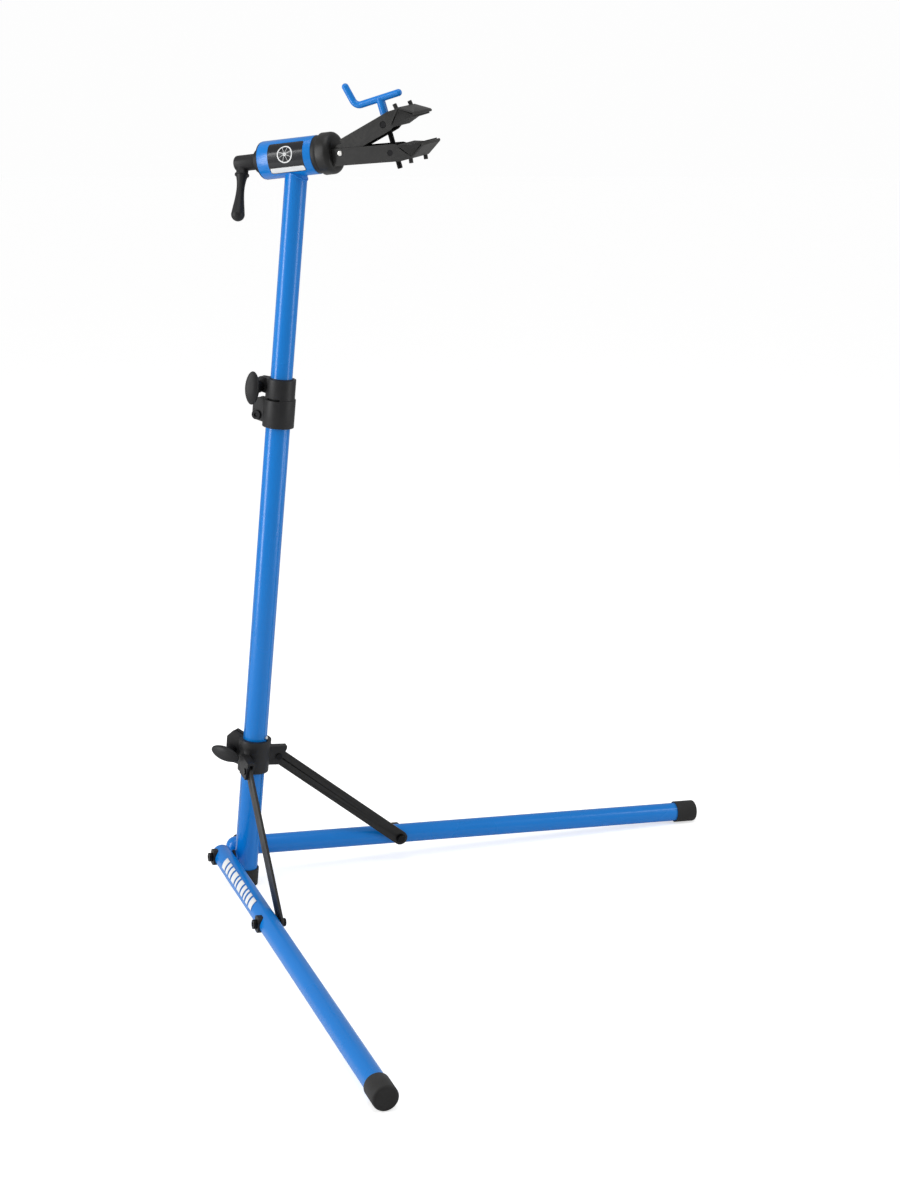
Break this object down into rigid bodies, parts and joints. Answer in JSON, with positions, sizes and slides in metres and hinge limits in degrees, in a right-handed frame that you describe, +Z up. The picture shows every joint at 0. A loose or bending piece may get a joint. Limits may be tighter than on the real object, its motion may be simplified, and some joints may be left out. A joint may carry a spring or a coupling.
{
  "type": "bike repair stand",
  "caption": "Folding floor stand with a leaning telescopic mast, braced swing-out legs, and a turning head that holds a screw-driven tube clamp.",
  "frame": {"origin": "middle of the mast's foot, on the floor", "axes": "+Z up, +X towards the clamp and the open side of the legs, +Y to the left leg"},
  "size_m": [0.6267, 1.2414, 1.282],
  "materials": {
    "blue_enamel": "gloss",
    "black_enamel": "semi-gloss",
    "black_steel": "black oxide",
    "zinc_steel": "zinc plated",
    "black_nylon": "moulded, fine texture",
    "black_rubber": "matt",
    "label_film": "gloss film"
  },
  "bodies": {
    "mast": {"lower_tube": "blue_enamel", "mast_foot": "black_rubber", "pivot_bosses": "blue_enamel", "pivot_spacers": "black_nylon", "leg_pivot_bolts": "black_steel", "guide_rivet": "zinc_steel", "height_collar": "black_nylon", "tube_bush": "black_nylon", "height_clamp_screw": "black_steel", "height_nuts": "black_steel"},
    "height_knob": {"height_knob": "black_nylon", "height_screw": "zinc_steel"},
    "leg_collar": {"leg_collar": "black_nylon", "brace_pins": "black_steel", "collar_nut": "black_steel"},
    "collar_knob": {"collar_knob": "black_nylon", "collar_screw": "zinc_steel"},
    "leg_right": {"leg_tube_right": "blue_enamel", "leg_dome_right": "blue_enamel", "leg_cap_right": "black_rubber", "pivot_bush_right": "black_nylon", "pivot_saddle_right": "black_nylon", "brace_bolt_right": "black_steel", "brace_saddle_right": "black_nylon"},
    "leg_left": {"leg_tube_left": "blue_enamel", "leg_dome_left": "blue_enamel", "leg_cap_left": "black_rubber", "pivot_bush_left": "black_nylon", "pivot_saddle_left": "black_nylon", "brace_bolt_left": "black_steel", "brace_saddle_left": "black_nylon"},
    "brace_right": {"brace_right": "black_enamel", "brace_cap_right": "black_steel"},
    "brace_left": {"brace_left": "black_enamel", "brace_cap_left": "black_steel"},
    "slide_plug": {"guide_plug": "black_nylon"},
    "upper_mast": {"upper_tube": "blue_enamel", "head_tube": "blue_enamel", "head_bush_rear": "black_nylon", "head_bush_front": "black_nylon", "label_panel": "label_film"},
    "clamp": {"clamp_shaft": "black_steel", "clamp_body": "black_enamel", "lower_jaw": "black_enamel", "lower_pad": "black_rubber", "jaw_pin": "zinc_steel", "lever_washer": "black_enamel"},
    "lock_lever": {"lock_lever": "black_enamel"},
    "upper_jaw": {"upper_jaw": "black_enamel", "upper_pad": "black_rubber"},
    "screw_pivot": {"lower_trunnion": "black_steel"},
    "screw_slide": {"upper_trunnion": "black_steel"},
    "jaw_handle": {"threaded_rod": "black_steel", "jaw_handle": "blue_enamel"}
  },
  "joints": [
    {"name": "leg_right_fold", "type": "hinge", "parent": "mast", "child": "leg_right", "pos_m": [-0.02206, -0.02808, 0.0532], "axis": [-0.6958, -0.7145, 0.0731], "range_deg": [0, 80.62]},
    {"name": "leg_left_fold", "type": "hinge", "parent": "mast", "child": "leg_left", "pos_m": [-0.02206, 0.02808, 0.0532], "axis": [0.6958, -0.7145, -0.0731], "range_deg": [0, 80.62]},
    {"name": "collar_slide", "type": "slide", "parent": "mast", "child": "leg_collar", "axis": [0.1045, 0, 0.9945], "range_m": [0, 0.37915]},
    {"name": "brace_right_swing", "type": "hinge", "parent": "leg_collar", "child": "brace_right", "pos_m": [0.04145, -0.04647, 0.21384], "axis": [0.6958, 0.7145, -0.0731], "range_deg": [0, 57.37]},
    {"name": "brace_left_swing", "type": "hinge", "parent": "leg_collar", "child": "brace_left", "pos_m": [0.04145, 0.04647, 0.21384], "axis": [-0.6958, 0.7145, 0.0731], "range_deg": [0, 57.37]},
    {"name": "collar_knob_turn", "type": "hinge", "parent": "leg_collar", "child": "collar_knob", "pos_m": [-0.01356, 0, 0.23068], "axis": [0, -1, 0], "range_deg": [-540, 45]},
    {"name": "height_knob_turn", "type": "hinge", "parent": "mast", "child": "height_knob", "pos_m": [0.05214, 0, 0.82809], "axis": [0, -1, 0], "range_deg": [-540, 45]},
    {"name": "height_slide", "type": "slide", "parent": "mast", "child": "slide_plug", "axis": [0.1045, 0, 0.9945], "range_m": [-0.205, 0.245]},
    {"name": "mast_turn", "type": "hinge", "parent": "slide_plug", "child": "upper_mast", "pos_m": [0.12355, 0, 1.17552], "axis": [0.1045, 0, 0.9945], "continuous": true},
    {"name": "clamp_turn", "type": "hinge", "parent": "upper_mast", "child": "clamp", "pos_m": [0.12355, 0, 1.17552], "axis": [0.994, 0, 0.1097], "continuous": true},
    {"name": "lock_lever_turn", "type": "hinge", "parent": "clamp", "child": "lock_lever", "pos_m": [0.02913, 0, 1.1651], "axis": [0.994, 0, 0.1097], "range_deg": [-30, 150]},
    {"name": "jaw_swing", "type": "hinge", "parent": "clamp", "child": "upper_jaw", "pos_m": [0.20465, 0.00007, 1.18368], "axis": [0.0096, -0.9962, -0.0866], "range_deg": [-14, 12]},
    {"name": "screw_swing", "type": "hinge", "parent": "clamp", "child": "screw_pivot", "pos_m": [0.28663, 0.00073, 1.18514], "axis": [0.0096, -0.9962, -0.0866], "range_deg": [-7.01, 6.01]},
    {"name": "screw_travel", "type": "slide", "parent": "screw_pivot", "child": "screw_slide", "axis": [-0.2685, -0.086, 0.9594], "range_m": [-0.01943, 0.01666]},
    {"name": "handle_turn", "type": "hinge", "parent": "screw_slide", "child": "jaw_handle", "pos_m": [0.28663, 0.00073, 1.18514], "axis": [-0.2685, -0.086, 0.9594], "range_deg": [-1395.4, 1196.1]}
  ],
  "couplings": [
    {"joint": "leg_left_fold", "follows": "leg_right_fold", "ratio": 1},
    {"joint": "collar_slide", "follows": "leg_right_fold", "m_per_rad": 0.26932},
    {"joint": "brace_right_swing", "follows": "leg_right_fold", "ratio": 0.71099},
    {"joint": "brace_left_swing", "follows": "leg_right_fold", "ratio": 0.71099},
    {"joint": "jaw_swing", "follows": "handle_turn", "ratio": 0.010028},
    {"joint": "screw_swing", "follows": "handle_turn", "ratio": 0.005014},
    {"joint": "screw_travel", "follows": "handle_turn", "m_per_rad": 0.00079577}
  ]
}
